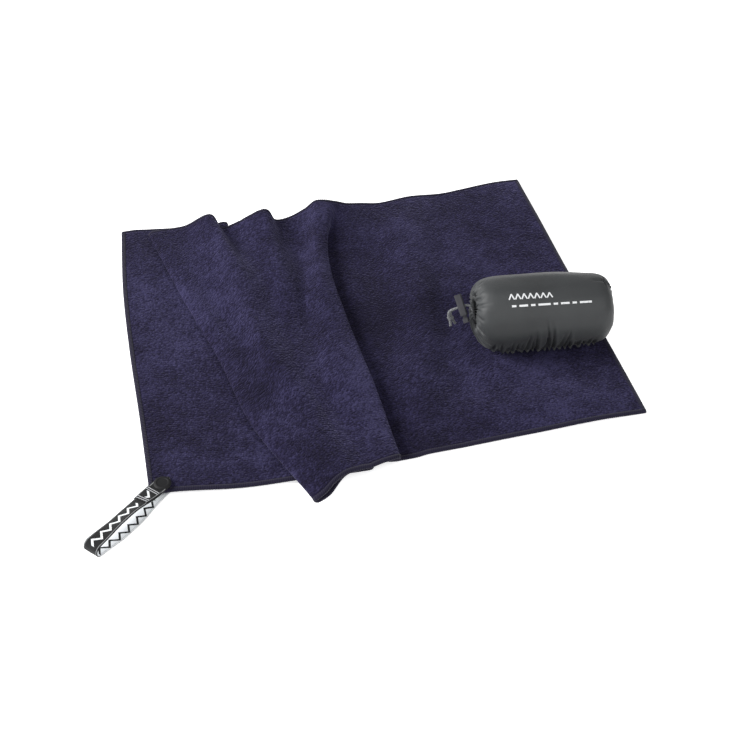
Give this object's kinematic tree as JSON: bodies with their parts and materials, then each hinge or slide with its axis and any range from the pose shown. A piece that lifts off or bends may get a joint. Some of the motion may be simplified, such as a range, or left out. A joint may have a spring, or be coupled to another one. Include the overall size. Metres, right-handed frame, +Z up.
{
  "type": "quick dry travel towel",
  "caption": "Microfibre terry towel laid out with a raised pleat, a webbing hang loop closed by a snap at one corner, and a full drawcord stuff sack lying on it.",
  "frame": {"origin": "centre of the whole object's box seen from above, on the surface that the towel lies on", "axes": "+Z up, +X along the towel's long side from the hang loop to the sack, +Y from the front hem to the back hem"},
  "size_m": [0.4209, 0.354, 0.0621],
  "materials": {
    "terry": "matt short-loop microfibre terry, deep violet navy",
    "overlock": "overlocked polyester thread edge in the cloth's colour",
    "webbing": "woven two-tone narrow webbing, black face with a pale motif and the reverse inverted",
    "thread": "polyester bar-tack thread",
    "snap_plastic": "satin black moulded plastic",
    "snap_metal": "nickel-plated steel",
    "sack_nylon": "thin charcoal ripstop nylon with a soft sheen and a small pale printed motif",
    "cord": "grey braided polyester cord with a light tracer",
    "lock_plastic": "moulded black acetal",
    "spring_wire": "spring steel wire"
  },
  "bodies": {
    "towel": {"towel_cloth": "terry", "hem_front": "overlock", "hem_back": "overlock", "hem_left": "overlock", "hem_right": "overlock", "snap_post": "snap_metal", "snap_stud": "snap_metal"},
    "loop_lower": {"strap_lower": "webbing"},
    "loop_upper": {"strap_upper": "webbing", "strap_tab": "webbing", "strap_stitching": "thread", "snap_socket": "snap_plastic", "snap_spring": "snap_metal", "snap_cap": "snap_plastic"},
    "sack": {"sack_shell": "sack_nylon", "sack_side_seam": "sack_nylon", "sack_end_seam": "sack_nylon", "sack_channel": "sack_nylon", "packed_towel": "terry", "drawcord_ring": "cord", "drawcord_strand_a": "cord", "drawcord_strand_b": "cord", "drawcord_knot": "cord"},
    "cord_lock": {"cord_lock_body": "lock_plastic", "cord_lock_spring": "spring_wire"},
    "lock_button": {"cord_lock_button": "lock_plastic"}
  },
  "joints": [
    {"name": "loop_swivel", "type": "hinge", "parent": "towel", "child": "loop_lower", "pos_m": [-0.15056, -0.12215, 0.002], "axis": [0, 0, 1], "range_deg": [-60, 60]},
    {"name": "loop_opening", "type": "hinge", "parent": "loop_lower", "child": "loop_upper", "pos_m": [-0.20258, -0.16899, 0.005], "axis": [0.6691, -0.7431, 0], "range_deg": [0, 42]},
    {"name": "sack_lift", "type": "slide", "parent": "towel", "child": "sack", "axis": [0, 0, 1], "range_m": [0, 0.12]},
    {"name": "cord_lock_slide", "type": "slide", "parent": "sack", "child": "cord_lock", "axis": [-0.9493, 0.0731, -0.3057], "range_m": [0, 0.003]},
    {"name": "cord_lock_press", "type": "slide", "parent": "cord_lock", "child": "lock_button", "axis": [-0.1706, 0.6971, 0.6963], "range_m": [0, 0.002], "stiffness_N_per_m": 300, "deforming": ["cord_lock_spring"]}
  ]
}
